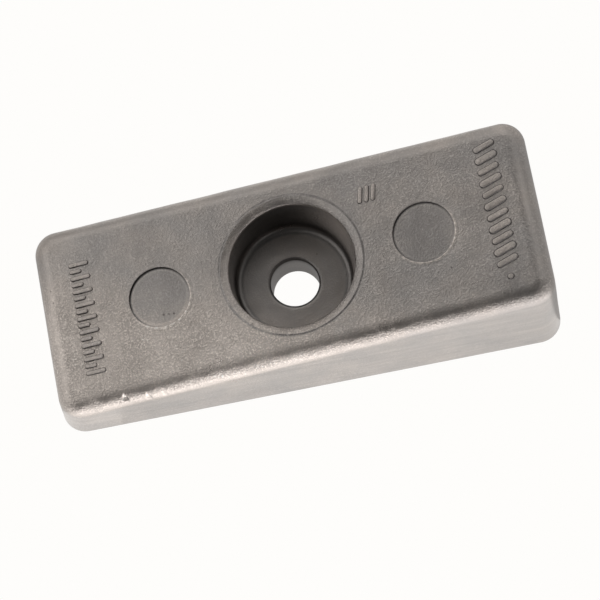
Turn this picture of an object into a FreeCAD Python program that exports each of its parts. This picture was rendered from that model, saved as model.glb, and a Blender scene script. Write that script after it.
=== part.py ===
"""A sacrificial anode: a wedge-shaped block of cast zinc with one recessed bolt hole.

The block lies on its flat mounting face. +X runs from the thin end to the thick end, +Z is the bolt's axis,
and the origin is the middle of the mounting face, where the bolt's axis leaves it. Sizes are in millimetres.
"""
import FreeCAD, Part
import math
import os
import Sketcher
from FreeCAD import Placement, Rotation, Vector

SIZES = {
    # the block, measured at its mounting face
    "length": 95.0,
    "width": 37.4,
    "corner_radius": 4.4,
    # how high the slanted top would stand over the two ends of the mounting face
    "thin_end_height": 10.5,
    "thick_end_height": 24.0,
    # the four sides lean inwards so that the casting leaves its die, in degrees
    "side_draft": 2.0,
    "top_edge_radius": 3.4,
    # the round pocket for the bolt's head, whose wall leans outwards by a draft of its own
    "pocket_floor_height": 6.8,
    "pocket_floor_radius": 11.0,
    "pocket_draft": 5.0,
    "pocket_floor_fillet": 1.2,
    # the bevel round the pocket's mouth, measured across the slanted top and down the pocket's wall
    "pocket_mouth_reach": 1.5,
    "pocket_mouth_drop": 0.75,
    # the bolt hole runs on from the pocket's floor to the mounting face
    "bolt_hole_radius": 4.5,
    "bolt_hole_edge_fillet": 0.6,
    # two shallow round marks, where the die's pins push the casting out
    "pin_mark_radius": 5.8,
    "pin_mark_spacing": 50.7,
    "pin_mark_depth": 0.3,
}

# worked out from the driving sizes, on the same sheet
DERIVED = {
    "top_slope": "=atan((thick_end_height - thin_end_height) / length)",
    "middle_height": "=(thick_end_height + thin_end_height) / 2",
    "block_height": "=max(thick_end_height; thin_end_height)",
    # the cutters stand this far clear of the faces that they cut through
    "overcut": "=1",
}

# a face or an edge counts as looking up where the upward part of its direction is over this
UPWARD = 0.5
# lengths that differ by less than this many millimetres count as the same
SAME = 1e-3
CUBIC_CM = 1000

doc = FreeCAD.newDocument("anode")
sheet = doc.addObject("Spreadsheet::Sheet", "Sizes")
for row, (alias, value) in enumerate([*SIZES.items(), *DERIVED.items()], start=1):
    sheet.set(f"A{row}", alias)
    sheet.set(f"B{row}", str(value))
    sheet.setAlias(f"B{row}", alias)
doc.recompute()


def size(alias):
    """A size on the sheet as a plain number: millimetres, or degrees for an angle."""
    value = getattr(sheet, alias)
    return float(getattr(value, "Value", value))


def origin_item(body, role):
    """One of the body's own origin planes or axes, such as XY_Plane or Z_Axis."""
    for item in body.Origin.OriginFeatures:
        if item.Role == role:
            return item
    raise ValueError(role)


def new_sketch(body, name, plane):
    """An empty sketch on one of the body's origin planes."""
    sketch = body.newObject("Sketcher::SketchObject", name)
    sketch.AttachmentSupport = [(origin_item(body, plane), "")]
    sketch.MapMode = "FlatFace"
    return sketch


def add_outline(sketch, corners):
    """Straight lines through the corners, joined end to end and closed."""
    count = len(corners)
    for k in range(count):
        ends = [Vector(*corners[j % count], 0) for j in (k, k + 1)]
        sketch.addGeometry(Part.LineSegment(*ends), False)
    for k in range(count):
        sketch.addConstraint(Sketcher.Constraint("Coincident", k, 2, (k + 1) % count, 1))


def constrain(sketch, kind, *places):
    """A constraint with no size, such as Horizontal, on each of the named lines."""
    for place in places:
        sketch.addConstraint(Sketcher.Constraint(kind, place))


def dimension(sketch, name, kind, places, value, formula):
    """A named dimension of the sketch, bound to a formula on the sheet."""
    index = sketch.addConstraint(Sketcher.Constraint(kind, *places, value))
    sketch.renameConstraint(index, name)
    sketch.setExpression(f"Constraints.{name}", formula)


def dress_edges(body, kind, name, picks, **sizes):
    """A fillet or chamfer on those edges of the body so far that picks(edge) accepts, sized by the sheet."""
    base = body.Tip
    edges = [f"Edge{k}" for k, edge in enumerate(base.Shape.Edges, start=1) if picks(edge)]
    if not edges:
        raise ValueError(f"{name} finds no edge")
    feature = body.newObject(kind, name)
    feature.Base = (base, edges)
    for value, alias in sizes.items():
        setattr(feature, value, size(alias))
        feature.setExpression(value, f"Sizes.{alias}")
    return feature


def add_fillet(body, name, picks, radius):
    """Rounds the picked edges by a radius on the sheet."""
    dress_edges(body, "PartDesign::Fillet", name, picks, Radius=radius)
    doc.recompute()


def add_bevel(body, name, picks, drop, reach):
    """Cuts the picked edges off aslant, by drop down the wall and by reach across the top."""
    bevel = dress_edges(body, "PartDesign::Chamfer", name, picks, Size=drop, Size2=reach)
    bevel.ChamferType = "Two distances"
    doc.recompute()


def top_face(shape):
    """The largest face that looks upwards: the slanted top."""
    looking_up = [face for face in shape.Faces if face.normalAt(0, 0).z > UPWARD]
    return max(looking_up, key=lambda face: face.Area)


def borders(edge, wires):
    """Whether the edge is part of one of the wires."""
    return any(edge.isSame(other) for wire in wires for other in wire.Edges)


def add_wedge(body):
    """A drafted block, cut off along the slanted top."""
    half_length = size("length") / 2
    half_width = size("width") / 2
    plan = new_sketch(body, "Plan", "XY_Plane")
    near, right, far, left = range(4)
    add_outline(plan, [(-half_length, -half_width), (half_length, -half_width),
                       (half_length, half_width), (-half_length, half_width)])
    constrain(plan, "Horizontal", near, far)
    constrain(plan, "Vertical", right, left)
    plan.addConstraint(Sketcher.Constraint("Symmetric", near, 1, far, 1, -1, 1))
    dimension(plan, "length", "DistanceX", (near, 1, near, 2), 2 * half_length, "Sizes.length")
    dimension(plan, "width", "DistanceY", (right, 1, right, 2), 2 * half_width, "Sizes.width")
    block = body.newObject("PartDesign::Pad", "Block")
    block.Profile = plan
    block.setExpression("Length", "Sizes.block_height")
    doc.recompute()

    walls = []
    for k, face in enumerate(block.Shape.Faces, start=1):
        upward = face.normalAt(0, 0).z
        if abs(upward) < UPWARD:
            walls.append(f"Face{k}")
        elif upward < 0:
            mounting_face = f"Face{k}"
    sides = body.newObject("PartDesign::Draft", "Sides")
    sides.Base = (block, walls)
    sides.NeutralPlane = (block, [mounting_face])
    sides.Angle = size("side_draft")
    sides.setExpression("Angle", "Sizes.side_draft")
    doc.recompute()

    above = size("block_height") + size("overcut")
    waste = new_sketch(body, "AboveTheTop", "XZ_Plane")
    slope, right, lid, left = range(4)
    add_outline(waste, [(-half_length, size("thin_end_height")), (half_length, size("thick_end_height")),
                        (half_length, above), (-half_length, above)])
    constrain(waste, "Vertical", right, left)
    waste.addConstraint(Sketcher.Constraint("Symmetric", lid, 1, lid, 2, -2))
    dimension(waste, "length", "DistanceX", (lid, 2, lid, 1), 2 * half_length, "Sizes.length")
    dimension(waste, "above", "DistanceY", (-1, 1, lid, 1), above, "Sizes.block_height + Sizes.overcut")
    dimension(waste, "thick_end", "DistanceY", (-1, 1, slope, 2), size("thick_end_height"),
              "Sizes.thick_end_height")
    dimension(waste, "thin_end", "DistanceY", (-1, 1, slope, 1), size("thin_end_height"),
              "Sizes.thin_end_height")
    top = body.newObject("PartDesign::Pocket", "SlantedTop")
    top.Profile = waste
    top.Type = "ThroughAll"
    top.Midplane = True
    doc.recompute()


def round_outside(body):
    """The four upright corners, then the edge all round the slanted top."""
    add_fillet(body, "UprightCorners", lambda edge: abs(edge.tangentAt(edge.FirstParameter).z) > UPWARD,
               "corner_radius")
    rim = top_face(body.Tip.Shape).Wires
    add_fillet(body, "TopEdge", lambda edge: borders(edge, rim), "top_edge_radius")


def cut_bolt_seat(body):
    """The drafted pocket for the bolt's head and the hole for its shank, turned as one section about +Z."""
    floor = size("pocket_floor_height")
    floor_radius = size("pocket_floor_radius")
    hole_radius = size("bolt_hole_radius")
    below = -size("overcut")
    above = size("block_height") + size("overcut")
    mouth_radius = floor_radius + (above - floor) * math.tan(math.radians(size("pocket_draft")))
    section = new_sketch(body, "SeatSection", "XZ_Plane")
    foot, shank, seat, wall, lid, axis = range(6)
    add_outline(section, [(0, below), (hole_radius, below), (hole_radius, floor), (floor_radius, floor),
                          (mouth_radius, above), (0, above)])
    constrain(section, "Horizontal", foot, seat, lid)
    constrain(section, "Vertical", shank, axis)
    section.addConstraint(Sketcher.Constraint("PointOnObject", axis, 1, -2))
    dimension(section, "below", "DistanceY", (foot, 1, -1, 1), -below, "Sizes.overcut")
    dimension(section, "above", "DistanceY", (-1, 1, lid, 1), above, "Sizes.block_height + Sizes.overcut")
    dimension(section, "floor", "DistanceY", (-1, 1, seat, 1), floor, "Sizes.pocket_floor_height")
    dimension(section, "hole", "DistanceX", (-1, 1, shank, 1), hole_radius, "Sizes.bolt_hole_radius")
    dimension(section, "seat", "DistanceX", (-1, 1, seat, 2), floor_radius, "Sizes.pocket_floor_radius")
    dimension(section, "mouth", "DistanceX", (-1, 1, wall, 2), mouth_radius,
              "Sizes.pocket_floor_radius + (Sizes.block_height + Sizes.overcut - Sizes.pocket_floor_height)"
              " * tan(Sizes.pocket_draft * 1deg)")
    groove = body.newObject("PartDesign::Groove", "BoltSeat")
    groove.Profile = section
    groove.ReferenceAxis = (origin_item(body, "Z_Axis"), [""])
    groove.Angle = 360
    doc.recompute()

    def ring(radius):
        """Picks the round edge of this radius at the height of the pocket's floor."""
        def picks(edge):
            low, high = edge.BoundBox.ZMin, edge.BoundBox.ZMax
            level = max(abs(low - floor), abs(high - floor)) < SAME
            return level and abs(edge.BoundBox.XMax - radius) < SAME
        return picks

    add_fillet(body, "SeatEdge", ring(hole_radius), "bolt_hole_edge_fillet")
    add_fillet(body, "SeatCorner", ring(floor_radius), "pocket_floor_fillet")
    top = top_face(body.Tip.Shape)
    mouth = [wire for wire in top.Wires if not wire.isSame(top.OuterWire)]
    add_bevel(body, "Mouth", lambda edge: borders(edge, mouth), "pocket_mouth_drop", "pocket_mouth_reach")


def press_pin_marks(body):
    """Two round marks, pressed a little way into the slanted top, one each side of the pocket."""
    marks = new_sketch(body, "PinMarks", "XY_Plane")
    marks.AttachmentOffset = Placement(Vector(0, 0, size("middle_height")),
                                       Rotation(Vector(0, -1, 0), size("top_slope")))
    marks.setExpression("AttachmentOffset.Base.z", "Sizes.middle_height")
    marks.setExpression("AttachmentOffset.Rotation.Angle", "Sizes.top_slope")
    reach = size("pin_mark_spacing") / 2
    radius = size("pin_mark_radius")
    for side, name in ((-1, "thin"), (1, "thick")):
        circle = marks.addGeometry(Part.Circle(Vector(side * reach, 0, 0), Vector(0, 0, 1), radius), False)
        marks.addConstraint(Sketcher.Constraint("PointOnObject", circle, 3, -1))
        dimension(marks, name + "_mark", "Radius", (circle,), radius, "Sizes.pin_mark_radius")
        ends = (-1, 1, circle, 3) if side > 0 else (circle, 3, -1, 1)
        dimension(marks, name + "_reach", "DistanceX", ends, reach, "Sizes.pin_mark_spacing / 2")
    pressed = body.newObject("PartDesign::Pocket", "PressedMarks")
    pressed.Profile = marks
    pressed.setExpression("Length", "Sizes.pin_mark_depth")
    doc.recompute()


def make_anode_block():
    """The whole casting, which is one solid."""
    body = doc.addObject("PartDesign::Body", "AnodeBlock")
    body.Label = "anode_block"
    volumes = []
    for step in (add_wedge, round_outside, cut_bolt_seat, press_pin_marks):
        step(body)
        volumes.append(body.Tip.Shape.Volume)
        print(f"{step.__name__}: {volumes[-1] / CUBIC_CM:.2f} cm3")
    if volumes != sorted(volumes, reverse=True) or len(set(volumes)) < len(volumes):
        raise ValueError("a step took nothing off the block")
    return body


block = make_anode_block()
doc.recompute()
for item in doc.Objects:
    if "Invalid" in item.State or "Error" in item.State:
        raise ValueError(f"{item.Name} failed: {item.State}")
shape = block.Shape
if shape.isNull() or not shape.isValid() or len(shape.Solids) != 1:
    raise ValueError("the block isn't one valid solid")
os.makedirs("parts", exist_ok=True)
shape.exportStep(f"parts/{block.Label}.step")
box = shape.optimalBoundingBox(False, False)
print(f"{block.Label}: {box.XLength:.2f} x {box.YLength:.2f} x {box.ZLength:.2f} mm")
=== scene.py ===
# %% [markdown]
# # A cast zinc anode
# A sacrificial anode is a block of zinc that is bolted to a boat's underwater metal and corrodes in its
# place. This one is a single die casting: a wedge with rounded upper edges, a deep pocket for the
# bolt's head, a plain hole through the pocket's floor, and two shallow round marks where pins pushed it
# out of the die. The lesson builds its whole skin from formulas, then gives it the grain and colour of
# raw zinc.
#
# The model comes first. It is the fixed frame that everything else has to fit.

import bpy
import numpy as np
from mathutils import Matrix, Vector


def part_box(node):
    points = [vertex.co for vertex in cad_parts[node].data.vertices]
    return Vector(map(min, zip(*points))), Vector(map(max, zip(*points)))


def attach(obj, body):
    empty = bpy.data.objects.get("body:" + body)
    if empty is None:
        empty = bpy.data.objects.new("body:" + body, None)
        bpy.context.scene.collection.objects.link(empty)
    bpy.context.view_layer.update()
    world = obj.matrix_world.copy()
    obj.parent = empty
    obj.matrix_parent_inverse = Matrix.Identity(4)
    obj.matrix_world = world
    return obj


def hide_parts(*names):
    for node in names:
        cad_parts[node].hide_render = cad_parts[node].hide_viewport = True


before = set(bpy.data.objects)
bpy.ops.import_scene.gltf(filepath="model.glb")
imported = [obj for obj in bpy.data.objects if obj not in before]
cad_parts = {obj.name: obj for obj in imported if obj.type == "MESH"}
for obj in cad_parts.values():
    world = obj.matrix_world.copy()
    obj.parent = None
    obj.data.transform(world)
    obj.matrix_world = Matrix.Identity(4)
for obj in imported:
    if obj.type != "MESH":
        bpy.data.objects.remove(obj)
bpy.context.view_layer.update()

MM = 0.001
NODE = "anode_block"
low, high = (np.array(corner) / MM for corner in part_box(NODE))
print("the casting's box in mm:", low.round(2), high.round(2))

# %% [markdown]
# ## Sizes
# All sizes are in millimetres, as on a drawing. The length and the width come from the frame, so the
# skin can't outgrow it. The rest are the drawing's own radii and heights. The top is a plane that
# climbs along +X, so it is handiest to keep its unit normal and two unit vectors that lie in it.

# %% Name the sizes
HALF_LENGTH = high[0]
HALF_WIDTH = high[1]
CORNER = 4.4
THIN_END = 10.5
THICK_END = 24.0
SIDE_DRAFT = np.radians(2.0)
TOP_EDGE = 3.4
POCKET_FLOOR = 6.8
POCKET_RADIUS = 11.0
POCKET_DRAFT = np.radians(5.0)
FLOOR_FILLET = 1.2
MOUTH_REACH = 1.5
MOUTH_DROP = 0.75
HOLE = 4.5
HOLE_EDGE = 0.6
PIN_MARK = 5.8
PIN_REACH = 25.35

SLOPE = np.arctan((THICK_END - THIN_END) / (2 * HALF_LENGTH))
MIDDLE = np.array([0, 0, (THICK_END + THIN_END) / 2])
UPHILL = np.array([np.cos(SLOPE), 0, np.sin(SLOPE)])
ACROSS = np.array([0, 1.0, 0])
TOP_NORMAL = np.array([-np.sin(SLOPE), 0, np.cos(SLOPE)])
UP = np.array([0, 0, 1.0])
print("the top climbs at", round(np.degrees(SLOPE), 2), "degrees")

# %% [markdown]
# ## A few small tools for surfaces
# A surface here is an array of points with rows and columns. `unit` makes directions one long. `turn`
# swings one direction into another in equal steps, which is just what a fillet does between two faces.
# `between` fills the gap between two curves with straight lines, cut at chosen fractions of the way.
# `bend` takes a corner off softly.

# %% Make the tools
def unit(vectors):
    """Each vector divided by its own length."""
    return vectors / np.linalg.norm(vectors, axis=-1, keepdims=True)


def turn(start, end, steps):
    """Directions in equal turns, w the whole turn: (sin((1-k)w) start + sin(kw) end) / sin(w)."""
    start, end = np.broadcast_arrays(start, end)
    whole = np.arccos(np.sum(start * end, axis=-1, keepdims=True))
    k = np.linspace(0, 1, steps + 1)[:, None, None]
    return (np.sin((1 - k) * whole) * start + np.sin(k * whole) * end) / np.sin(whole)


def between(start, end, fractions):
    """Straight lines from the points of one curve to those of another: start + k (end - start)."""
    k = np.asarray(fractions)[:, None, None]
    return start + k * (end - start)


def bend(start, corner, end, steps):
    """A curve from start to end, drawn towards the corner: (1-k)^2 start + 2k(1-k) corner + k^2 end."""
    k = np.linspace(0, 1, steps + 1)[:, None, None]
    return (1 - k) ** 2 * start + 2 * k * (1 - k) * corner + k ** 2 * end


def even(steps):
    """Fractions of the way from 0 to 1 in equal steps."""
    return np.linspace(0, 1, steps + 1)


def eased(steps):
    """Fractions from 0 to 1 that are small at first: k squared."""
    return even(steps) ** 2


def closed(rows):
    """The same rows with their first column once more at the end."""
    return np.concatenate([rows, rows[:, :1]], axis=1)


# %% [markdown]
# ## The outline
# Seen from above, the mounting face is a rectangle with round corners. It is walked once, front side
# first, and every point carries two directions: `outward`, square to the outline, and `lean`, the way
# the drafted wall moves inwards as it rises. At a corner both neighbouring walls lean, so there `lean`
# points along the diagonal. The walk has four named stretches, which meet where the top will be cut
# across later, at `CUT` on both sides of the hole. The points are closer together where the front edge
# has its small dents.

# %% Walk round the outline
GRID = 0.46
CUT = 16.5
DENTED = (-36.5, -26.5)
DENTED_GRID = 0.12


def straight(start, end, outward, grid=GRID):
    """Points from start to end about one grid step apart, the end left out, with one outward direction."""
    start, end = np.array(start), np.array(end)
    steps = int(np.ceil(np.linalg.norm(end - start) / grid))
    points = start + even(steps)[:-1, None] * (end - start)
    return points, np.tile(np.array(outward, float), (steps, 1))


def corner(side_x, side_y, first_angle):
    """A quarter circle about the corner's centre: centre + r (cos a, sin a), for a quarter turn of a."""
    centre = np.array([side_x * (HALF_LENGTH - CORNER), side_y * (HALF_WIDTH - CORNER)])
    steps = int(np.ceil(CORNER * np.pi / 2 / GRID))
    angle = np.radians(first_angle) + even(steps)[:-1] * np.pi / 2
    outward = np.stack([np.cos(angle), np.sin(angle)], axis=1)
    return centre + CORNER * outward, outward


inner_x = HALF_LENGTH - CORNER
inner_y = HALF_WIDTH - CORNER
front, back = (0, -1), (0, 1)
runs = {
    "centre front": [straight((-CUT, -HALF_WIDTH), (CUT, -HALF_WIDTH), front)],
    "thick end": [straight((CUT, -HALF_WIDTH), (inner_x, -HALF_WIDTH), front),
                  corner(1, -1, -90),
                  straight((HALF_LENGTH, -inner_y), (HALF_LENGTH, inner_y), (1, 0)),
                  corner(1, 1, 0),
                  straight((inner_x, HALF_WIDTH), (CUT, HALF_WIDTH), back)],
    "centre back": [straight((CUT, HALF_WIDTH), (-CUT, HALF_WIDTH), back)],
    "thin end": [straight((-CUT, HALF_WIDTH), (-inner_x, HALF_WIDTH), back),
                 corner(-1, 1, 90),
                 straight((-HALF_LENGTH, inner_y), (-HALF_LENGTH, -inner_y), (-1, 0)),
                 corner(-1, -1, 180),
                 straight((-inner_x, -HALF_WIDTH), (DENTED[0], -HALF_WIDTH), front),
                 straight((DENTED[0], -HALF_WIDTH), (DENTED[1], -HALF_WIDTH), front, DENTED_GRID),
                 straight((DENTED[1], -HALF_WIDTH), (-CUT, -HALF_WIDTH), front)],
}
stretch = {}
plan_parts, outward_parts, count = [], [], 0
for name, parts in runs.items():
    length = sum(len(points) for points, outward in parts)
    stretch[name] = (count, count + length)
    count += length
    plan_parts += [points for points, outward in parts]
    outward_parts += [outward for points, outward in parts]
plan = np.vstack(plan_parts)
outward = np.vstack(outward_parts)
lean = np.stack([np.clip(plan[:, 0] / inner_x, -1, 1), np.clip(plan[:, 1] / inner_y, -1, 1)], axis=1)
print("the outline has", count, "points:", {name: b - a for name, (a, b) in stretch.items()})

# %% [markdown]
# ## Walls and the rounded top edge
# A die casting leaves its die along one direction, so its walls lean by a draft of two degrees. The top
# edge is a rolling-ball fillet: a ball that touches the wall and the slanted top at once sweeps the
# round. For every point of the outline the ball's centre is found in closed form, because the wall is
# straight and the top is a plane. The round itself is `turn` from the wall's normal to the top's
# normal, times the ball's radius.
#
# Zinc is soft, and this casting has been knocked: three small nicks cross the front's rounded edge near
# the thin end. Each is a scoop, wide and deep below and pointed above, whose floor faces the front more
# than the edge beside it does, and a narrow slit that runs down beside the scoop. Both are simply taken
# off the ball's radius.

# %% Nick the front edge
NICK_PLACES = np.array([-34.7, -30.5, -27.5])
NICK_TIPS = np.array([0.74, 0.56, 0.52])
NICK_WIDTHS = np.array([0.46, 0.38, 0.22])
NICK_DEPTHS = np.array([0.34, 0.26, 0.14])
NICK_LENGTH = 0.27
SLIT_WIDTH = 0.15
SLIT_GAP = 0.3
SLIT_LEAN = 0.25
SLIT_REACH = 0.5
SLIT_SHARE = 0.6


def nicks(along, climb):
    """How strong the scoops and the slits are at a place, both from 0 to 1, and their depth in mm.

    Tips and lengths are shares of the climb up the round. With r = (tip - climb) / length, a scoop is
    exp(-t^4) for r from 0 to 1, where t is the distance from its middle over r times its width, and it is
    r times its full depth. A slit is exp(-s^2 - q^2), where s is the distance in slit widths from a line
    that leans away from the scoop downwards, and q = (r - 1) / reach.
    """
    r = (NICK_TIPS - climb[..., None]) / NICK_LENGTH
    distance = along[:, None] - NICK_PLACES
    width = NICK_WIDTHS * np.clip(r, 0.05, 1)
    scoops = np.exp(-(distance / width) ** 4) * np.interp(r, [0, 0.1, 1, 1.2], [0, 1, 1, 0])
    aside = (distance - SLIT_GAP - SLIT_LEAN * r) / SLIT_WIDTH
    slits = np.exp(-aside ** 2 - ((r - 1) / SLIT_REACH) ** 2)
    depth = np.sum(NICK_DEPTHS * (scoops * np.clip(r, 0, 1) + SLIT_SHARE * slits), axis=-1)
    strength = NICK_DEPTHS / NICK_DEPTHS.max()
    return np.sum(strength * scoops, axis=-1), np.sum(strength * slits, axis=-1), depth


# %% Raise the walls and roll the ball
def flat_to_space(flat):
    """Plan points as points at height zero."""
    return np.column_stack([flat, np.zeros(len(flat))])


draft = np.tan(SIDE_DRAFT)
foot = flat_to_space(plan)
rise = UP - draft * flat_to_space(lean)
wall_normal = unit(flat_to_space(outward) + draft * np.sum(outward * lean, axis=1, keepdims=True) * UP)
top_level = MIDDLE @ TOP_NORMAL
ball_level = top_level - TOP_EDGE + TOP_EDGE * wall_normal @ TOP_NORMAL
ball_height = (ball_level - foot @ TOP_NORMAL) / (rise @ TOP_NORMAL)
wall_top = foot + ball_height[:, None] * rise
ball = wall_top - TOP_EDGE * wall_normal
WALL_ROWS = 12
EDGE_ROWS = 20
walls = between(foot, wall_top, even(WALL_ROWS))
edge_normal = turn(wall_normal, TOP_NORMAL, EDGE_ROWS)
on_front = plan[:, 1] < -inner_y
climb = even(EDGE_ROWS)[:, None] * np.ones(count)
scooped, slit, nicked = on_front * np.stack(nicks(plan[:, 0], climb))
round_edge = ball + (TOP_EDGE - nicked)[..., None] * edge_normal
rim = ball + TOP_EDGE * TOP_NORMAL
round_edge[-1] = rim
skirt = np.vstack([walls, round_edge[1:]])
print("the walls end between", ball_height.min().round(2), "and", ball_height.max().round(2), "mm up")
print("deepest nick:", nicked.max().round(2), "mm")

# %% [markdown]
# ## Three cells
# One grid can't follow a rectangle, a pocket and two pin marks at once. So the top is cut into three
# cells, one round each circle. In a cell, every line runs from a point of the cell's border straight
# towards the circle, and the lines cross rings that grow from the circle's shape into the border's. Two
# cells share the very same points along the cut between them, so the pieces can later be welded with no
# gap.

# %% Cut the top and the mounting face into cells
CUT_STEPS = 76


def cell_borders(edge):
    """The closed borders of the three cells of a face whose edge has one point for each outline point."""
    def stretch_of(name):
        """The edge's points along one named stretch, with the first point of the next stretch."""
        first, last = stretch[name]
        return edge[np.arange(first, last + 1) % count]

    thick, thin = stretch_of("thick end"), stretch_of("thin end")
    thick_cut = between(thick[-1:], thick[:1], even(CUT_STEPS))[:, 0]
    thin_cut = between(thin[-1:], thin[:1], even(CUT_STEPS))[:, 0]
    centre = np.vstack([
        stretch_of("centre front"), thick_cut[::-1][1:], stretch_of("centre back")[1:], thin_cut[::-1][1:]])
    return centre, np.vstack([thick, thick_cut[1:]]), np.vstack([thin, thin_cut[1:]])


centre_top, thick_top, thin_top = cell_borders(rim)
centre_foot, thick_foot, thin_foot = cell_borders(foot)
print("border points of the cells:", len(centre_top), len(thick_top), len(thin_top))

# %% [markdown]
# ## The pocket and the bolt hole
# The pocket was formed by a tapered core, so its wall opens upwards by five degrees, and the place
# where this cone meets the slanted top isn't a circle. Its height has a closed form for each direction
# round the bolt's axis. There a shallow bevel, bowed a little, leads from the top down to a crisp inner
# edge. Below it the section is the same all the way round: wall, floor fillet, floor, a small round
# into the hole, and the hole's straight wall. A core sits in the die with a hair of clearance, which
# leaves a fine, ragged line on the casting round the bevel. The line is strongest towards the front and
# the thick end.

# %% Turn the pocket
towards = unit(centre_top * [1, 1, 0])
core = np.tan(POCKET_DRAFT)
cone_normal = np.sin(POCKET_DRAFT) * UP - np.cos(POCKET_DRAFT) * towards
tilt = towards @ TOP_NORMAL
mouth_height = (top_level - tilt * (POCKET_RADIUS - POCKET_FLOOR * core)) / (TOP_NORMAL[2] + tilt * core)


def cone(height):
    """A point of the tapered wall in each direction: radius = foot radius + (height - floor) tan(draft)."""
    height = np.broadcast_to(height, len(towards))[:, None]
    return (POCKET_RADIUS + (height - POCKET_FLOOR) * core) * towards + height * UP


SEAT_ROWS = 8
HOLE_EDGE_ROWS = 6
seat_ball_height = POCKET_FLOOR + FLOOR_FILLET
cone_foot = cone(seat_ball_height - FLOOR_FILLET * np.sin(POCKET_DRAFT))
seat_ball = cone_foot + FLOOR_FILLET * cone_normal
seat_round = seat_ball - FLOOR_FILLET * turn(cone_normal, np.broadcast_to(UP, towards.shape), SEAT_ROWS)
hole_ball = (HOLE + HOLE_EDGE) * towards + (POCKET_FLOOR - HOLE_EDGE) * UP
hole_round = hole_ball + HOLE_EDGE * turn(np.broadcast_to(UP, towards.shape), -towards, HOLE_EDGE_ROWS)
hole_foot = HOLE * towards
print("the wall would meet the top between", mouth_height.min().round(2), "and",
      mouth_height.max().round(2), "mm up")

# %% Bevel the mouth
BOW = 0.1
INNER_EDGE = 0.16
BEVEL_ROWS = 9
corner_line = cone(mouth_height)
away = unit(centre_top - corner_line)
bevel_top = corner_line + MOUTH_REACH * away
inner_corner = cone(mouth_height - MOUTH_DROP)
share = even(BEVEL_ROWS)
bevel = between(bevel_top, inner_corner, share)
bow = 4 * BOW * share * (1 - share)
bevel = bevel + bow[:, None, None] * unit(np.cross(inner_corner - bevel_top, np.cross(towards, UP)))
wall_start = cone(mouth_height - MOUTH_DROP - INNER_EDGE)
# The inner edge bends off just before the bevel's last row.
edge_start = 0.8 * bevel[-2] + 0.2 * bevel[-1]
inner_edge = bend(edge_start, inner_corner, wall_start, 4)
print("the pocket's mouth is", (2 * np.linalg.norm(bevel_top[:, :2], axis=1).mean()).round(2), "mm across")

# %% Add the core's line and the flat top round it
CORE_LINE = 0.06
LAND_ROWS = 28
STRONG_SIDE = np.array([0.8, -0.6, 0])
line_distance = np.array([0, 0.08, 0.17, 0.26, 0.42])
line_depth = CORE_LINE * np.array([0, 0.75, 1, 0.6, 0])
round_axis = np.arctan2(towards[:, 1], towards[:, 0])
# Waves of unlike lengths make the line ragged.
ragged = 0.5 * np.sin(7 * round_axis + 1) + 0.35 * np.sin(17 * round_axis + 2)
ragged = ragged + 0.25 * np.sin(43 * round_axis)
line_strength = 0.9 + 0.5 * towards @ STRONG_SIDE + 0.4 * ragged
core_line = bevel_top + line_distance[:, None, None] * away
core_line -= (line_depth[:, None] * line_strength)[..., None] * TOP_NORMAL
# The rows are closest together beside the line.
centre_land = between(core_line[-1], centre_top, (eased(LAND_ROWS) + even(LAND_ROWS)) / 2)

# %% [markdown]
# ## What the finish needs to know
# The metal's finish isn't the same everywhere. The sandy grain of the die shows on the top and is
# almost gone on the walls and in the pocket. The rounded edges get a painted highlight. The pocket is
# painted darker as shade, most of all on the side away from the strong side of the core's line. So each
# point also gets two numbers: `grain`, how strongly the sand shows, and `tone`, how light the metal is
# painted, painted light and shade included. The material reads them later as attributes of the mesh.

# %% Join the centre cell's rows
SMOOTH = 0.3
PAINTED_SHADE_SIDE = np.array([-0.4, 0.92, 0])
BEVEL_HIGHLIGHT_SIDE = np.array([-0.8, 0.6, 0])
POCKET_ROWS, FLOOR_ROWS, HOLE_ROWS, FOOT_ROWS = 16, 10, 5, 10
painted_shade = np.clip(towards @ PAINTED_SHADE_SIDE, 0, 1)
at_thick_end = np.clip(towards[:, 0], 0, 1)
# Each tone is a value for the whole part. In the pocket it is painted shade: the wall is darkest on the
# shaded side and lighter towards both ends, and the fillet is darker still, dimmest half way round its
# turn. The bevel gets a painted highlight on the side towards the thin end and the back, and the floor
# is painted lighter towards the back, the front and the thick end.
wall_tone = 0.87 - 0.56 * painted_shade + 0.2 * np.abs(towards[:, 0])
round_tone = (0.64 - 0.18 * painted_shade) * (1 - 0.33 * np.sin(np.pi * even(SEAT_ROWS)[1:, None]))
bevel_tone = 1 + 0.25 * np.clip(towards @ BEVEL_HIGHLIGHT_SIDE, 0, 1) ** 4
at_back = np.clip(towards[:, 1], 0, 1)
at_front = np.clip(-towards[:, 1], 0, 1)
floor_tone = 0.95 + 0.08 * at_back + 0.06 * at_thick_end + 0.1 * at_front
# Each part is its rows, its grain and its tone. The core's line, the round into the hole and the hole's
# wall are painted darker as shade, and the pocket's inner edge gets a painted highlight.
centre_parts = [
    (centre_land[::-1], 1.0, 1.0),
    (core_line[-2::-1], 1.0, 0.95 - 0.28 * line_strength),
    (bevel[1:-1], 1.0, bevel_tone),
    (inner_edge, 0.7, 1.1),
    (between(wall_start, cone_foot, even(POCKET_ROWS))[1:], SMOOTH, wall_tone),
    (seat_round[1:], SMOOTH, round_tone),
    (between(seat_round[-1], hole_round[0], even(FLOOR_ROWS))[1:], SMOOTH, floor_tone),
    (hole_round[1:], SMOOTH, 0.45),
    (between(hole_round[-1], hole_foot, even(HOLE_ROWS))[1:], SMOOTH, 0.82),
    (between(hole_foot, centre_foot, even(FOOT_ROWS))[1:], SMOOTH, 1.0),
]
centre_cell = np.vstack([rows for rows, grain, tone in centre_parts])
centre_grain = np.concatenate([np.full(len(rows), grain) for rows, grain, tone in centre_parts])[:, None]
centre_tone = np.vstack([np.broadcast_to(tone, rows.shape[:2]) for rows, grain, tone in centre_parts])
print("rows from the rim, through the pocket and back out underneath:", len(centre_cell))
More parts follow.
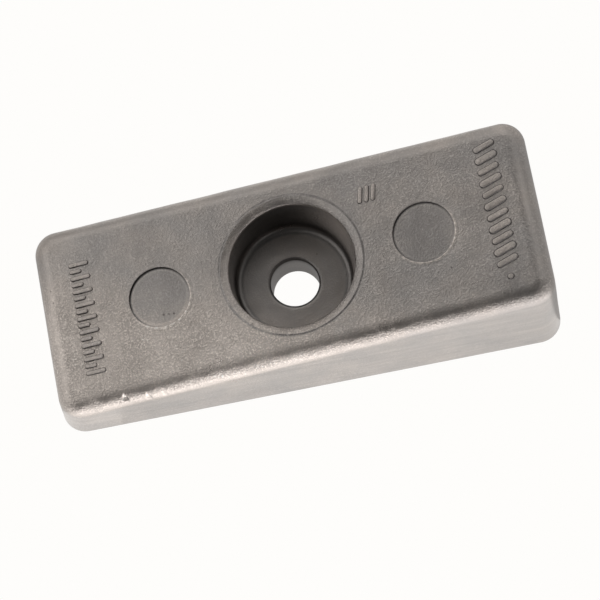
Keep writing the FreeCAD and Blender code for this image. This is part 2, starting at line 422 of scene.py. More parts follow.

# %% [markdown]
# Up the rounded edge the sand comes back late, with the fifth power of the climb. Half way up, where
# hands and other castings touch it, a rough band runs all round, and in front it is rougher still
# beyond the nicks. Half way up the edge also gets a painted highlight, most of all at the far corner of
# the thick end. A scoop gets a painted highlight, and a slit painted shade.

# %% Give the walls and the edge their grain
ROUGH_FROM, ROUGH_TO = -29.0, -25.0
BAND_PLACE, BAND_WIDTH = 0.45, 0.18
# A painted highlight half way up the rounded edge: a little all round, more along the back, and most at the
# thick end's back corner.
EDGE_HIGHLIGHT = 0.06
BACK_EDGE_HIGHLIGHT = 0.14
CORNER_HIGHLIGHT = 0.3
CORNER_PLACE = [HALF_LENGTH - 0.7 * CORNER, HALF_WIDTH - 0.1 * CORNER]
CORNER_SPREAD = 2.2
NICK_CONTRAST = 0.7
rougher = on_front * np.clip((plan[:, 0] - ROUGH_FROM) / (ROUGH_TO - ROUGH_FROM), 0, 1)
band = (0.5 + 0.4 * rougher) * np.exp(-((climb - BAND_PLACE) / BAND_WIDTH) ** 2)
edge_grain = SMOOTH + (1 - SMOOTH) * climb ** 5 + band
skirt_grain = closed(np.vstack([np.full((WALL_ROWS, count), SMOOTH), edge_grain]))
from_corner = np.linalg.norm(plan - CORNER_PLACE, axis=1)
edge_highlight = np.where(plan[:, 1] > inner_y, BACK_EDGE_HIGHLIGHT, EDGE_HIGHLIGHT)
edge_highlight = edge_highlight + CORNER_HIGHLIGHT * np.exp(-(from_corner / CORNER_SPREAD) ** 2)
hump = 4 * climb * (1 - climb)
# Scoops get a painted highlight and slits painted shade.
edge_tone = 1 + edge_highlight * hump + NICK_CONTRAST * (scooped - slit)
skirt_tone = closed(np.vstack([np.ones((WALL_ROWS, count)), edge_tone]))
print("grain half way up the front edge, at the thin end and at the thick end:",
      edge_grain[EDGE_ROWS // 2].min().round(2), edge_grain[EDGE_ROWS // 2].max().round(2))

# %% [markdown]
# ## The pin marks
# Round pins push the casting out of the die while it is still warm, and each presses a flat disc. The
# pins stand upright in the die while the top slopes, and they wear, so a disc is deepest on one side
# and almost flush on the other. Going inwards, the rings cross a faint lip of displaced metal, a steep
# wall and a flat floor. Depths are measured along the top's normal and are largest in the direction
# `deepest`. The rings come with their own tone: painted shade in the deep side's corner and over the
# floor, and a painted highlight in places on the lip of the shallow side.

# %% Press the pin marks
LIP_DISTANCE = np.array([1.15, 0.95, 0.8, 0.65, 0.45, 0.3, 0.2, 0.1, 0.03])
LIP_HEIGHT = np.array([0, -0.018, -0.045, -0.018, 0, 0.018, 0.052, 0.046, 0.0])
LIP_HIGHLIGHT = np.array([0, 0, 0, 0, 0.2, 0.6, 0.9, 0.9, 0.4])
WALL_DISTANCE = np.array([-0.02, -0.06, -0.1, -0.14, -0.24, -0.38, -0.5])
WALL_SHARE = np.array([0.12, 0.5, 0.85, 1.02, 1.04, 1.01, 1.0])
WALL_SHADE = np.array([0.2, 0.75, 0.9, 0.9, 0.65, 0.25, 0])
FULL_SHADE_DEPTH = 0.35
MARK_GRAIN = 0.6
MARK_LAND_ROWS, MARK_FLOOR_ROWS, MARK_FOOT_ROWS = 26, 16, 6
deepest = unit(-0.5 * UPHILL + 0.87 * ACROSS)


def mark_cell(border, side, underside, depth, tilt, shade):
    """Rings from the border to the mark's centre, their grain and tone, and a fan on the mounting face.

    The floor's depth is depth + tilt c r/R, with c the cosine of a spoke's angle from the deepest side.
    Its tone is the shade, a painted shade in the hollow.
    """
    middle = MIDDLE + side * PIN_REACH * UPHILL
    spoke = unit(border - middle)
    lopsided = spoke @ deepest
    angle = np.arctan2(spoke @ ACROSS, spoke @ UPHILL)
    ragged = 0.7 + 0.3 * np.sin(23 * angle) + 0.25 * np.sin(41 * angle + 1)
    lip = middle + (PIN_MARK + LIP_DISTANCE)[:, None, None] * spoke
    lip += (LIP_HEIGHT[:, None] * np.clip(0.6 - 0.4 * lopsided, 0.2, 1))[..., None] * TOP_NORMAL
    sunk = depth + tilt * lopsided
    wall = middle + (PIN_MARK + WALL_DISTANCE)[:, None, None] * spoke
    wall -= (WALL_SHARE[:, None] * sunk)[..., None] * TOP_NORMAL
    shares = 1 - (0.4 * eased(MARK_LAND_ROWS) + 0.6 * even(MARK_LAND_ROWS))[::-1]
    land = between(border, lip[0], shares)
    floor = between(wall[-1], middle - depth * TOP_NORMAL + 0 * spoke, even(MARK_FLOOR_ROWS))
    inwards = np.vstack([land, lip[1:], wall, floor[1:]])
    # Painted highlight on the lip's shallow side, painted shade down the deep side's wall and over the
    # floor.
    rings_tone = np.concatenate([
        np.ones(land.shape[:2]),
        1 + LIP_HIGHLIGHT[1:, None] * np.clip(0.3 - lopsided, 0, 1) * ragged,
        1 - WALL_SHADE[:, None] * np.clip(sunk / FULL_SHADE_DEPTH, 0, 1),
        np.full((len(floor) - 1, len(spoke)), shade),
    ])
    rings_grain = np.where(np.arange(len(inwards)) < len(land) + len(lip), 1.0, MARK_GRAIN)[:, None]
    below = between(side * PIN_REACH * np.array([1.0, 0, 0]) + 0 * spoke, underside, even(MARK_FOOT_ROWS))
    return inwards, rings_grain, rings_tone, below


thick_cell, thick_grain, thick_tone, thick_below = mark_cell(thick_top, 1, thick_foot, 0.18, 0.14, 0.9)
thin_cell, thin_grain, thin_tone, thin_below = mark_cell(thin_top, -1, thin_foot, 0.2, 0.2, 0.8)
print("rings over each pin mark:", len(thick_cell))

# %% [markdown]
# ## One closed skin
# Every patch becomes a grid of four-sided faces. Points that coincide are then merged, which welds the
# seams and turns the four-sided faces round each centre into triangles. A closed skin has a volume,
# worked out here by adding up the small pyramids from the origin to each face, and printed. Over the
# mounting face, which the origin lies in, these pyramids are flat, so the volume can't tell which way its
# faces look. So the edges are counted too: where all faces look outwards, the two faces of an edge walk
# along it in opposite directions.

# %% Weld the patches
WELD_DECIMALS = 5


def grid_faces(rows, columns, first):
    """Four corners of each cell of a grid whose points are numbered row by row from first."""
    number = first + np.arange(rows * columns).reshape(rows, columns)
    corners = [number[:-1, :-1], number[:-1, 1:], number[1:, 1:], number[1:, :-1]]
    return np.stack([corner.ravel() for corner in corners], axis=1)


def drop_repeats(faces):
    """Splits faces into true quads and triangles, by which neighbouring corners have become one."""
    same = faces == np.roll(faces, -1, axis=1)
    quads = faces[~same.any(axis=1)]
    once = faces[same.sum(axis=1) == 1]
    place = np.argmax(once == np.roll(once, -1, axis=1), axis=1)
    order = (place[:, None] + np.arange(1, 4)) % 4
    return quads, np.take_along_axis(once, order, axis=1)


def weld(patches):
    """Merges the points that coincide. Gives the points, quads, triangles and the points' old numbers."""
    faces, points, first = [], [], 0
    for patch in patches:
        faces.append(grid_faces(patch.shape[0], patch.shape[1], first))
        points.append(patch.reshape(-1, 3))
        first += len(points[-1])
    points = np.vstack(points)
    rounded = points.round(WELD_DECIMALS)
    kept, merged = np.unique(rounded, axis=0, return_index=True, return_inverse=True)[1:]
    quads, triangles = drop_repeats(merged.reshape(-1)[np.vstack(faces)])
    return points[kept], quads, triangles, kept


def thirds(quads, triangles):
    """All faces as triangles: each quad cut along its first diagonal."""
    return np.vstack([quads[:, [0, 1, 2]], quads[:, [0, 2, 3]], triangles])


def volume_of(vertices, quads, triangles):
    """The sum of the signed pyramids from the origin to each triangle, in cubic centimetres."""
    a, b, c = (vertices[corner] for corner in thirds(quads, triangles).T)
    return np.sum(a * np.cross(b, c)) / 6 / 1000


def turned_wrong(quads, triangles):
    """How many edges have two faces that walk along them in the same direction."""
    a, b, c = thirds(quads, triangles).T
    walked = np.concatenate([np.stack([a, b]), np.stack([b, c]), np.stack([c, a])], axis=1).T
    return len(walked) - len(np.unique(walked, axis=0))


patches = [
    (closed(skirt), skirt_grain, skirt_tone),
    (centre_cell, centre_grain, centre_tone),
    (thick_cell, thick_grain, thick_tone),
    (thin_cell, thin_grain, thin_tone),
    (thick_below, SMOOTH, 1.0),
    (thin_below, SMOOTH, 1.0),
]
skin, quads, triangles, kept = weld([rows for rows, grain, tone in patches])
grains = [np.broadcast_to(grain, rows.shape[:2]).ravel() for rows, grain, tone in patches]
tones = [np.broadcast_to(tone, rows.shape[:2]).ravel() for rows, grain, tone in patches]
grain = np.concatenate(grains)[kept]
tone = np.concatenate(tones)[kept]
print("points:", len(skin), "quads:", len(quads), "triangles:", len(triangles))
print("signed volume:", round(volume_of(skin, quads, triangles), 2), "cm3")
print("edges with a face turned wrong:", turned_wrong(quads, triangles))

# %% [markdown]
# ## A skin that isn't quite flat
# Liquid zinc shrinks as it freezes, so no face of a casting is a true plane. A few slow sine waves in
# seeded directions push the skin inwards by up to a twentieth of a millimetre, which is enough to bend
# the reflections. They fade out at the mounting face, because that one was cast against a flat block.
# The grain is also coarser towards the front and the thin end, where the metal entered the die, and
# there the upward faces of the top get painted light. Towards the thick end it is a little coarser again.

# %% Sink the skin a little
SWELL = 0.05
WAVES = 11
SHORTEST, LONGEST = 7.0, 24.0
FADE_HEIGHT = 2.0
COARSE_REACH = 20.0
COARSE_GRAIN, PAINTED_FRONT_LEFT_LIGHT = 1.4, 0.45
THICK_END_GRAIN = 0.4
FINE_TONE = 0.95
random = np.random.default_rng(11)
wave_directions = unit(random.normal(size=(WAVES, 3)))
wave_vectors = wave_directions * 2 * np.pi / random.uniform(SHORTEST, LONGEST, (WAVES, 1))
wave_starts = random.uniform(0, 2 * np.pi, WAVES)


def point_normals(vertices, quads, triangles):
    """At each point, the area vectors of the faces round it, added up and made one long."""
    corners = thirds(quads, triangles)
    a, b, c = (vertices[corner] for corner in corners.T)
    area = np.cross(b - a, c - a)
    added = [np.bincount(corners.ravel(), np.repeat(area[:, axis], 3), len(vertices)) for axis in range(3)]
    return unit(np.stack(added, axis=1))


def swell(points):
    """A depth from 0 to SWELL: half of it times 1 plus the sum of the sine waves, held from -1 to 1."""
    waves = np.sin(points @ wave_vectors.T + wave_starts).sum(axis=1) / np.sqrt(WAVES)
    return SWELL / 2 * (1 + np.clip(waves, -1, 1))


normals = point_normals(skin, quads, triangles)
depth = swell(skin) * np.clip(skin[:, 2] / FADE_HEIGHT, 0, 1)
skin = skin - depth[:, None] * normals
x, y, z = skin.T
above_foot = z > 0
coarse_and_lit = np.clip(0.1 - (y + 0.4 * x) / COARSE_REACH, 0, 1) ** 2 * above_foot
near_thick_end = np.clip(x / COARSE_REACH, 0, 1) * above_foot
grain = grain * (1 + COARSE_GRAIN * coarse_and_lit + THICK_END_GRAIN * near_thick_end)
# Painted light on upward faces towards the front and the thin end.
tone = tone * (FINE_TONE + PAINTED_FRONT_LEFT_LIGHT * coarse_and_lit * np.clip(2 * normals[:, 2], 0, 1))
print("sunk by", depth.mean().round(3), "mm on average, at most", depth.max().round(3))

# %% [markdown]
# ## Into a mesh
# Blender takes the points in metres. The object stays at the origin, unturned and unscaled, so that a
# pattern on its object coordinates lies where the frame says.

# %% Make the casting
def make_mesh(name, vertices_mm, face_lists):
    """A mesh object at the origin, from points in millimetres."""
    mesh = bpy.data.meshes.new(name)
    all_faces = [face for faces in face_lists for face in faces.tolist()]
    mesh.from_pydata((vertices_mm * MM).tolist(), [], all_faces)
    mesh.update()
    item = bpy.data.objects.new(name, mesh)
    bpy.context.scene.collection.objects.link(item)
    return item


def add_numbers(item, name, values):
    """One number for each point of an object's mesh, under a name that a material can read."""
    item.data.attributes.new(name, "FLOAT", "POINT").data.foreach_set("value", values)


casting = make_mesh("casting", skin, [quads, triangles])
add_numbers(casting, "grain", grain)
add_numbers(casting, "tone", tone)
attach(casting, "root")
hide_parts(NODE)

# %% [markdown]
# ## Raised marks
# The die leaves small raised marks on the top, which were engraved in it. Here they are plain bars: a
# row of thin ticks at the thin end, like those of a rule, a row of bolder slanted bars at the thick
# end, and a tally of three short ones. A bar is a low section with sloping sides, carried along a line
# and turned half round at both ends. Its foot reaches a little below the surface, so no gap shows round
# it. The engraving is shallower near the front, and so are they. A painted shadow lies along their
# feet, and their tops carry a painted highlight.

# %% Raise the bars
BAR_HEIGHT = 0.26
HALF_PROFILE = np.array([1.1, 1.0, 0.9, 0.8, 0.7, 0.5, 0.0])
RISE = np.array([-0.2, 0.0, 0.34, 0.74, 0.95, 1.0, 1.0])
# Painted shadow at the foot, rising to a painted highlight on the top.
FOOT_SHADOW_TO_TOP_HIGHLIGHT = np.array([0.3, 0.3, 0.35, 0.65, 1.2, 1.2, 1.2])
SHALLOW_TO_FULL = [-13, -6]
END_STEPS = 6


def on_top(along, across, above=0.0):
    """A point of the slanted top, given along its slope, across it and above it."""
    return MIDDLE + along * UPHILL + across * ACROSS + above * TOP_NORMAL


def bar(start, end, half_width, height=BAR_HEIGHT):
    """Sections across a bar: HALF_PROFILE half widths from its line, RISE heights above the top."""
    direction = unit(end - start)
    side = np.cross(TOP_NORMAL, direction)
    turned = np.radians(np.linspace(90, 0, END_STEPS))[:, None]
    profile = half_width * HALF_PROFILE[None, :, None]
    rise = height * RISE[:, None] * TOP_NORMAL

    def half(sign, lengthwise, place):
        """Half sections on one side, swung from the bar's direction to square across it."""
        swing = sign * np.cos(turned) * side + lengthwise * np.sin(turned) * direction
        return place + profile * swing[:, None, :] + rise

    def sections(lengthwise, place):
        """Whole sections: one half from its foot up, the other down again."""
        return np.concatenate([half(1, lengthwise, place), half(-1, lengthwise, place)[:, -2::-1]], axis=1)

    return closed(np.concatenate([sections(-1, start), sections(1, end)[::-1]]))


def row_of_bars(ends, places, lean, half_widths):
    """One bar at each place across the top, leaning by a length. Ends and half widths come in turns."""
    row = []
    for number, place in enumerate(places):
        height = BAR_HEIGHT * np.interp(place, SHALLOW_TO_FULL, [0.55, 1.0])
        start, end = ends[number % len(ends)]
        half_width = half_widths[number % len(half_widths)]
        row.append(bar(on_top(start, place), on_top(end, place + lean), half_width, height))
    return row


ticks = row_of_bars([(-41.0, -38.0), (-41.0, -39.5)], np.linspace(10.1, -11.3, 17), 0.0, [0.46, 0.42])
slanted = row_of_bars([(37.9, 40.8)], np.linspace(12.9, -9.7, 11), 0.9, [0.66, 0.78])
pip = [bar(on_top(39.3, -12.3), on_top(39.4, -12.3), 0.6, 0.22)]
tally = [bar(on_top(along, 8.7), on_top(along + 0.5, 11.1), 0.46) for along in (14.9, 16.15, 17.4)]
bars = [rows for group in (ticks, slanted, pip, tally) for rows in group]
marks, mark_quads, mark_triangles, kept = weld(bars)
tone_across = np.concatenate([FOOT_SHADOW_TO_TOP_HIGHLIGHT, FOOT_SHADOW_TO_TOP_HIGHLIGHT[-2::-1], FOOT_SHADOW_TO_TOP_HIGHLIGHT[:1]])
marks_tone = np.concatenate([np.tile(tone_across, len(rows)) for rows in bars])[kept]
raised = make_mesh("raised_marks", marks, [mark_quads, mark_triangles])
add_numbers(raised, "grain", np.ones(len(marks)))
add_numbers(raised, "tone", marks_tone)
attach(raised, "root")
print("bars:", len(bars), "with", len(marks), "points, highest", marks[:, 2].max().round(2), "mm, volume",
      round(volume_of(marks, mark_quads, mark_triangles), 4), "cm3")

# %% [markdown]
# ## Raw zinc
# What leaves the die is bare zinc alloy. A metal has no colour of its own under the shine, but within
# days the air turns zinc's skin to a dull grey, in faint clouds. Colours are written as sRGB hex values
# and turned to linear by one function, and one function adds a node with its settings and links.

# %% Node tools
def linear(hex_colour):
    """An sRGB hex colour as linear: c/12.92 up to 0.04045, else ((c+0.055)/1.055)^2.4, and alpha 1."""
    srgb = np.array([int(hex_colour[k:k + 2], 16) for k in (1, 3, 5)]) / 255
    return (*np.where(srgb <= 0.04045, srgb / 12.92, ((srgb + 0.055) / 1.055) ** 2.4), 1.0)


def add_node(tree, kind, inputs=None, **settings):
    """One node: settings are its own options, inputs are numbers to set or sockets to link."""
    item = tree.nodes.new(kind)
    for name, value in settings.items():
        setattr(item, name, value)
    for name, value in (inputs or {}).items():
        if isinstance(value, bpy.types.NodeSocket):
            tree.links.new(value, item.inputs[name])
        else:
            item.inputs[name].default_value = value
    return item


# %% [markdown]
# ## The finish, from coarse to fine
# - Clouds: oxide a little warmer here and cooler there, in patches some 9 mm wide with finer ones in
#   them. Where the oxide is warm and light, the metal is a little shinier too.
# - Streaks: the metal flowed along the die, which left faint level lines on the walls, a millimetre
#   apart.
# - Sand: the die's worn steel prints a fine grain, with dimples a third of a millimetre across. It is
#   weaker and stronger in patches 3.5 mm wide.
# - Specks: the high points of the grain are rubbed lighter.
# - Pinholes: gas leaves a few small holes in the skin, each a third of a millimetre wide. Six pits have
#   places of their own.
#
# All patterns read object coordinates in metres, so a scale of 1 / (0.34 mm) means one dimple for each
# 0.34 mm. Noise lies mostly between 0.3 and 0.7, so about that range is spread over each result.
# Heights are added up in millimetres before one bump node turns them into slopes.

# %% Draw the patterns
metal = bpy.data.materials.new("die_cast_zinc")
metal.use_nodes = True
tree = metal.node_tree
tree.nodes.clear()
place = add_node(tree, "ShaderNodeTexCoord").outputs["Object"]
given_grain = add_node(tree, "ShaderNodeAttribute", attribute_name="grain").outputs["Fac"]
tone_here = add_node(tree, "ShaderNodeAttribute", attribute_name="tone").outputs["Fac"]

CLOUD = 9.0
STREAK = 1.0
STREAK_LENGTH = 14.0
SAND = 0.34
PATCH = 3.5
PINHOLE_SPACING = 2.8
PINHOLE_RADIUS = 0.16
PINHOLE_SHARE = 0.28
clouds = add_node(tree, "ShaderNodeTexNoise", {
    "Vector": place, "Scale": 1 / (CLOUD * MM), "Detail": 4.0, "Roughness": 0.55})
SQUEEZE = STREAK / STREAK_LENGTH
along_wall = add_node(tree, "ShaderNodeMapping", {"Vector": place, "Scale": (SQUEEZE, SQUEEZE, 1)})
streaks = add_node(tree, "ShaderNodeTexNoise", {
    "Vector": along_wall.outputs[0], "Scale": 1 / (STREAK * MM), "Detail": 3.0})
sand = add_node(tree, "ShaderNodeTexNoise", {
    "Vector": place, "Scale": 1 / (SAND * MM), "Detail": 3.0, "Roughness": 0.65})
spread = add_node(tree, "ShaderNodeTexNoise", {"Vector": place, "Scale": 1 / (PATCH * MM), "Detail": 2.0})
patchy = add_node(tree, "ShaderNodeMapRange", {
    "Value": spread.outputs["Fac"], "From Min": 0.35, "From Max": 0.65, "To Min": 0.75, "To Max": 1.35})
grain_here = add_node(tree, "ShaderNodeMath", {0: given_grain, 1: patchy.outputs[0]}, operation="MULTIPLY")
cells = add_node(tree, "ShaderNodeTexVoronoi", {"Vector": place, "Scale": 1 / (PINHOLE_SPACING * MM)})
drawn_lot = add_node(tree, "ShaderNodeSeparateColor", {"Color": cells.outputs["Color"]})
near = PINHOLE_RADIUS / PINHOLE_SPACING
bottom = add_node(tree, "ShaderNodeMapRange", {
    "Value": cells.outputs["Distance"], "From Min": near / 2, "From Max": near,
    "To Min": 1.0, "To Max": 0.0})
chosen = add_node(tree, "ShaderNodeMath", {
    0: drawn_lot.outputs["Red"], 1: 1 - PINHOLE_SHARE}, operation="GREATER_THAN")
pinholes = add_node(tree, "ShaderNodeMath", {
    0: bottom.outputs[0], 1: chosen.outputs[0]}, operation="MULTIPLY")
PITS = [(-25.05, -3.68, 0.34), (-24.09, -3.72, 0.22), (-23.14, -3.86, 0.3), (-9.1, -9.46, 0.36),
        (-18.2, -15.4, 0.34), (29.1, -8.1, 0.26)]
for along, across, radius in PITS:
    apart = add_node(tree, "ShaderNodeVectorMath", {
        0: place, 1: on_top(along, across) * MM}, operation="DISTANCE")
    pit = add_node(tree, "ShaderNodeMapRange", {
        "Value": apart.outputs["Value"], "From Min": radius * MM / 3, "From Max": radius * MM,
        "To Min": 1.0, "To Max": 0.0})
    pinholes = add_node(tree, "ShaderNodeMath", {
        0: pinholes.outputs[0], 1: pit.outputs[0]}, operation="MAXIMUM")

# %% Turn them into height
SAND_HEIGHT = 0.1
STREAK_HEIGHT = 0.02
PINHOLE_DEPTH = 0.1
sand_height = add_node(tree, "ShaderNodeMath", {
    0: sand.outputs["Fac"], 1: SAND_HEIGHT}, operation="MULTIPLY")
grained = add_node(tree, "ShaderNodeMath", {
    0: sand_height.outputs[0], 1: grain_here.outputs[0]}, operation="MULTIPLY")
streaked = add_node(tree, "ShaderNodeMath", {
    0: streaks.outputs["Fac"], 1: STREAK_HEIGHT, 2: grained.outputs[0]}, operation="MULTIPLY_ADD")
height = add_node(tree, "ShaderNodeMath", {
    0: pinholes.outputs[0], 1: -PINHOLE_DEPTH, 2: streaked.outputs[0]}, operation="MULTIPLY_ADD")
bump = add_node(tree, "ShaderNodeBump", {"Height": height.outputs[0], "Distance": MM, "Strength": 1.0})

# %% [markdown]
# The oxide is a warm grey where the tone is high and a cooler one where it is low, in the pocket's
# painted shade and in the darker clouds. Then the tone of the place, with its painted light and shade,
# and the clouds, streaks, specks and holes each lighten or darken it by a factor.

# %% Colour and shine
WARM_ZINC, COOL_ZINC = "#b1a9a3", "#aba6a3"
COLOUR_A, COLOUR_B, MIXED_COLOUR = 6, 7, 2
clouds_and_tone = add_node(tree, "ShaderNodeMath", {0: clouds.outputs["Fac"], 1: tone_here}, operation="ADD")
tint = add_node(tree, "ShaderNodeMapRange", {
    "Value": clouds_and_tone.outputs[0], "From Min": 1.3, "From Max": 1.7})
oxide = add_node(tree, "ShaderNodeMix", {
    0: tint.outputs[0], COLOUR_A: linear(COOL_ZINC), COLOUR_B: linear(WARM_ZINC)}, data_type="RGBA")
cloudy = add_node(tree, "ShaderNodeMapRange", {
    "Value": clouds.outputs["Fac"], "From Min": 0.3, "From Max": 0.7, "To Min": 0.95, "To Max": 1.05})
lined = add_node(tree, "ShaderNodeMapRange", {
    "Value": streaks.outputs["Fac"], "From Min": 0.3, "From Max": 0.7, "To Min": 0.92, "To Max": 1.08})
SPECKS = 0.3
BETWEEN_SPECKS = 0.94
HOLE_SHADE = 0.35
high_sand = add_node(tree, "ShaderNodeMapRange", {
    "Value": sand.outputs["Fac"], "From Min": 0.48, "From Max": 0.68})
rubbed = add_node(tree, "ShaderNodeMath", {
    0: high_sand.outputs[0], 1: grain_here.outputs[0]}, operation="MULTIPLY")
specked = add_node(tree, "ShaderNodeMath", {
    0: rubbed.outputs[0], 1: SPECKS, 2: BETWEEN_SPECKS}, operation="MULTIPLY_ADD")
hollow = add_node(tree, "ShaderNodeMath", {
    0: pinholes.outputs[0], 1: -HOLE_SHADE, 2: 1.0}, operation="MULTIPLY_ADD")
brightness = tone_here
for factor in (cloudy, lined, specked, hollow):
    product = add_node(tree, "ShaderNodeMath", {0: brightness, 1: factor.outputs[0]}, operation="MULTIPLY")
    brightness = product.outputs[0]
colour = add_node(tree, "ShaderNodeVectorMath", {
    "Vector": oxide.outputs[MIXED_COLOUR], "Scale": brightness}, operation="SCALE")
dullness = add_node(tree, "ShaderNodeMapRange", {
    "Value": clouds.outputs["Fac"], "From Min": 0.3, "From Max": 0.7, "To Min": 0.34, "To Max": 0.27})
surface = add_node(tree, "ShaderNodeBsdfPrincipled", {
    "Base Color": colour.outputs[0], "Metallic": 1.0, "Roughness": dullness.outputs[0],
    "Normal": bump.outputs["Normal"]})
add_node(tree, "ShaderNodeOutputMaterial", {"Surface": surface.outputs[0]})

SHARP = np.radians(50)
for item in (casting, raised):
    item.data.materials.append(metal)
    item.data.shade_smooth()
    item.data.set_sharp_from_angle(angle=SHARP)
print("nodes in the metal:", len(tree.nodes))

# %% [markdown]
# ## The camera
# The picture was taken from in front and high above, with a long lens and the camera turned a little,
# so the block lies aslant in the frame. The camera is built from those facts: where it aims, how far
# away it is, its direction as two angles, and its turn. A focal length in pixels becomes one in
# millimetres through the sensor's width.

# %% Place the camera
PHOTO = 600
FOCAL_PIXELS = 3286.2
SENSOR = 36
AZIMUTH, ELEVATION, ROLL = np.radians([3.145, 71.278, -14.119])
AIM = np.array([0.363, -4.677, 10.0])
DISTANCE = 610.55


def direction(azimuth, elevation):
    """The unit vector at an azimuth, 0 in front and a quarter turn at the thick end, and an elevation."""
    level = np.array([np.sin(azimuth), -np.cos(azimuth), 0])
    return np.cos(elevation) * level + np.sin(elevation) * UP


def facing(place, backwards, turn_by=0.0):
    """The matrix of something at a place in mm that looks away from backwards, turned about its view."""
    level_right = unit(np.cross(UP, backwards))
    level_up = np.cross(backwards, level_right)
    right = np.cos(turn_by) * level_right + np.sin(turn_by) * level_up
    turned = Matrix(np.column_stack([right, np.cross(backwards, right), backwards]).tolist()).to_4x4()
    return Matrix.Translation(Vector(place * MM)) @ turned


camera = bpy.data.objects.new("camera", bpy.data.cameras.new("camera"))
camera.data.sensor_width = SENSOR
camera.data.lens = FOCAL_PIXELS / PHOTO * SENSOR
camera.data.clip_start = 0.01
backwards = direction(AZIMUTH, ELEVATION)
camera.matrix_world = facing(AIM + DISTANCE * backwards, backwards, ROLL)
bpy.context.scene.collection.objects.link(camera)
bpy.context.scene.camera = camera
print("the lens is", round(camera.data.lens, 1), "mm long")

# %% [markdown]
# ## A white sheet
# Small parts are often photographed on a white sheet that is lit so strongly that it comes out plain
# white. The metal still mirrors how bright each stretch of it really is: most in front, less at the
# back and the ends, and less again close to the block, which shades it. So one floor is seen, and a few
# panels lying on it are mirrored. The patch under the hole gets its light only from above, so it is the
# dimmest.
#
# The panels lie a few hundredths of a millimetre up, each on a layer of its own, and those near the
# block are on top. The floor lies lower still, but off the mounting face, because two faces in one
# plane would flicker through each other. What reaches under the block is inside its skin, so nothing of
# it shows from below. There, one wide, dim sheet far down gives the mounting face something to mirror.

# %% Lay the floor
WHITE = "#fefdfb"
LAMP_WHITE = "#fcfbfb"
FLOOR_REACH = 3000.0
REACH = 600.0
FAR_RIGHT = 1050.0
LAYER = 0.02
square = np.array([[-1, -1, 0], [1, -1, 0], [1, 1, 0], [-1, 1, 0]])


def sheet(name, corners_mm, radiance, colour=WHITE):
    """A glowing sheet with four or more corners. A radiance of 1 is the picture's white."""
    glow = bpy.data.materials.new(name)
    glow.use_nodes = True
    glow.node_tree.nodes.clear()
    shine = add_node(glow.node_tree, "ShaderNodeEmission", {"Color": linear(colour), "Strength": radiance})
    add_node(glow.node_tree, "ShaderNodeOutputMaterial", {"Surface": shine.outputs[0]})
    item = make_mesh(name, corners_mm, [np.arange(len(corners_mm))[None]])
    item.data.materials.append(glow)
    return item


def panel(name, corners, height, radiance, colour=WHITE):
    """A level sheet, by its corners in plan and its height, that the metal mirrors and no camera sees."""
    raised_corners = np.array([(x, y, height) for x, y in corners])
    sheet(name, raised_corners, radiance, colour).visible_camera = False


def rectangle(left, right, front_edge, back_edge):
    """A rectangle's corners in plan."""
    return [(left, front_edge), (right, front_edge), (right, back_edge), (left, back_edge)]


floor = sheet("floor", FLOOR_REACH * square + LAYER / 2 * UP, 1.0)
floor.visible_glossy = False
floor.visible_diffuse = False
floor.visible_shadow = False
front_line = -HALF_WIDTH + CORNER
shaded_line = -HALF_WIDTH - 12
end_line = 43.0
back_line = 14.0
shaded = [(-49, front_line), (-58, shaded_line), (57, shaded_line), (57, -20), (46, front_line)]
panel("shaded_front", shaded, 5 * LAYER, 1.12)
shaded_near_thin_end = [(-49, front_line), (-58, shaded_line), (-37, shaded_line), (-37, front_line)]
panel("shaded_left", shaded_near_thin_end, 6 * LAYER, 1.28)
bright = [(-46, front_line), (-500, -REACH), (1022, -REACH), (46, front_line)]
panel("bright_front", bright, 4 * LAYER, 1.75, LAMP_WHITE)
left_front = [(-REACH, -REACH), (-end_line, -REACH), (-end_line, 0), (-REACH, -200)]
panel("left_front", left_front, 3 * LAYER, 0.78)
panel("left_side", rectangle(-REACH, -end_line, -REACH, REACH), 2 * LAYER, 0.62)
panel("right_side", rectangle(end_line, FAR_RIGHT, -REACH, REACH), 3 * LAYER, 0.56)
panel("back_side", rectangle(-end_line, end_line, back_line, REACH), 5 * LAYER, 0.82)
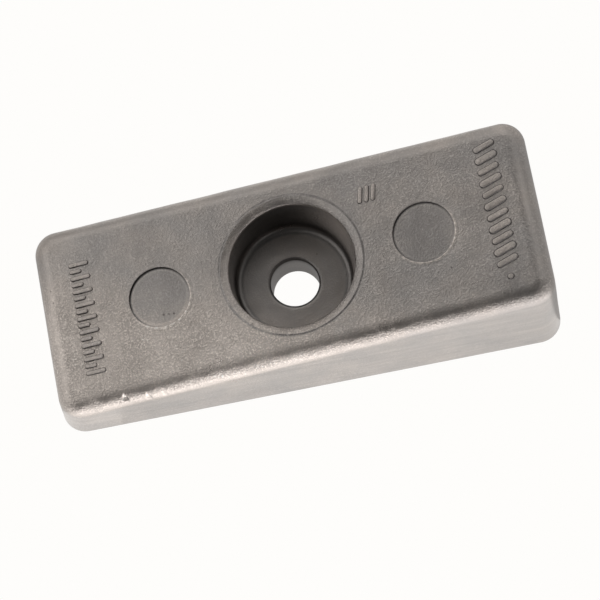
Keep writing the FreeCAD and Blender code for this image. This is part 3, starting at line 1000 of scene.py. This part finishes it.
panel("under_hole", 2 * HOLE * square[:, :2], LAYER, 0.38)
panel("below", REACH * square[:, :2], -200, 0.5)

# %% [markdown]
# ## Soft panels
# Metal shows what stands round it. Two strips low in front go on where the bright sheet ends, and with
# it they make the bright band along the rounded edge. Tall dim panels behind and beside the block light
# the top, and two more at the thin end make that end the lighter one. Nothing stands in front and high
# up, where the camera is, and this dark gap draws the dark band between the edge and the top.

# %% Set up the lights
ROOM_LIGHT = 0.11


def softbox(name, azimuth, elevation, distance, width, height, radiance, colour):
    """A light aimed at the origin, in mm and degrees. Its power is pi times its area times its radiance."""
    away = direction(*np.radians([azimuth, elevation]))
    data = bpy.data.lights.new(name, "AREA")
    data.shape = "RECTANGLE"
    data.size = width * MM
    data.size_y = height * MM
    data.energy = np.pi * data.size * data.size_y * radiance
    data.color = linear(colour)[:3]
    item = bpy.data.objects.new(name, data)
    item.visible_camera = False
    item.matrix_world = facing(away * distance, away)
    bpy.context.scene.collection.objects.link(item)


# Each light is its azimuth, elevation, distance, width, height, radiance and colour.
lights = {
    "front_strip": (0, 9, 500, 400, 160, 1.8, LAMP_WHITE),
    "front_right_strip": (32, 25, 500, 200, 150, 1.75, LAMP_WHITE),
    "right_panel": (90, 30, 500, 400, 560, 0.31, WHITE),
    "back_right_panel": (135, 33, 500, 400, 560, 0.45, WHITE),
    "back_panel": (180, 33, 500, 400, 560, 0.52, WHITE),
    "back_left_panel": (225, 33, 500, 400, 560, 0.5, WHITE),
    "left_panel": (270, 33, 500, 400, 560, 0.5, WHITE),
    "high_left": (270, 66, 500, 260, 170, 0.5, WHITE),
    "near_left": (270, 40, 200, 160, 120, 0.18, WHITE),
}
for name, settings in lights.items():
    softbox(name, *settings)
world = bpy.data.worlds.new("studio")
world.use_nodes = True
background = world.node_tree.nodes["Background"]
background.inputs["Color"].default_value = linear(WHITE)
background.inputs["Strength"].default_value = ROOM_LIGHT
bpy.context.scene.world = world
bpy.context.scene.view_settings.view_transform = "Standard"
